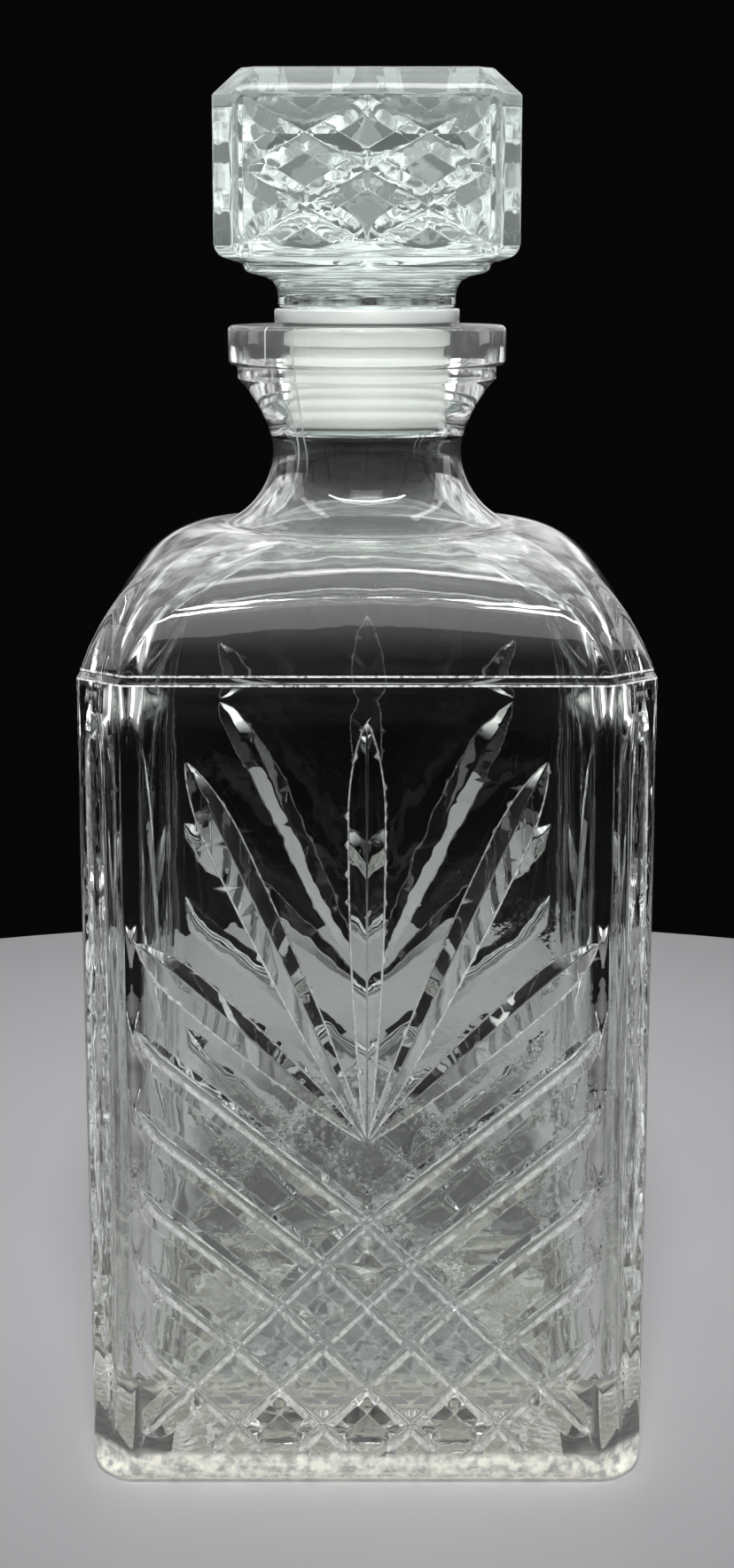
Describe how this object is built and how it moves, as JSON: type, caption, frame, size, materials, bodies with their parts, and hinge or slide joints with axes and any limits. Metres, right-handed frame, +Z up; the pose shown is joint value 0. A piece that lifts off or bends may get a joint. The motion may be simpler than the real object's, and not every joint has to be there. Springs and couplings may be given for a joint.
{
  "type": "spirit decanter",
  "caption": "Square cut-glass spirit decanter with a fan and diamond pattern, a round neck and a lift-out glass stopper in a plastic seal.",
  "frame": {"origin": "centre of the base, on the surface that the decanter stands on", "axes": "+Z up through the neck, one cut face towards -Y"},
  "size_m": [0.095, 0.095, 0.2366],
  "materials": {
    "bottle_glass": "fire-polished clear glass with a faint green-grey cast",
    "stopper_glass": "fire-polished clear glass",
    "seal_plastic": "translucent milky soft plastic"
  },
  "bodies": {
    "bottle": {"bottle": "bottle_glass"},
    "seal": {"stopper_seal": "seal_plastic"},
    "stopper": {"stopper": "stopper_glass"}
  },
  "joints": [
    {"name": "stopper_lift", "type": "slide", "parent": "bottle", "child": "seal", "axis": [0, 0, 1], "range_m": [0, 0.06]},
    {"name": "stopper_twist", "type": "hinge", "parent": "seal", "child": "stopper", "pos_m": [0, 0, 0.2], "axis": [0, 0, 1], "continuous": true}
  ]
}
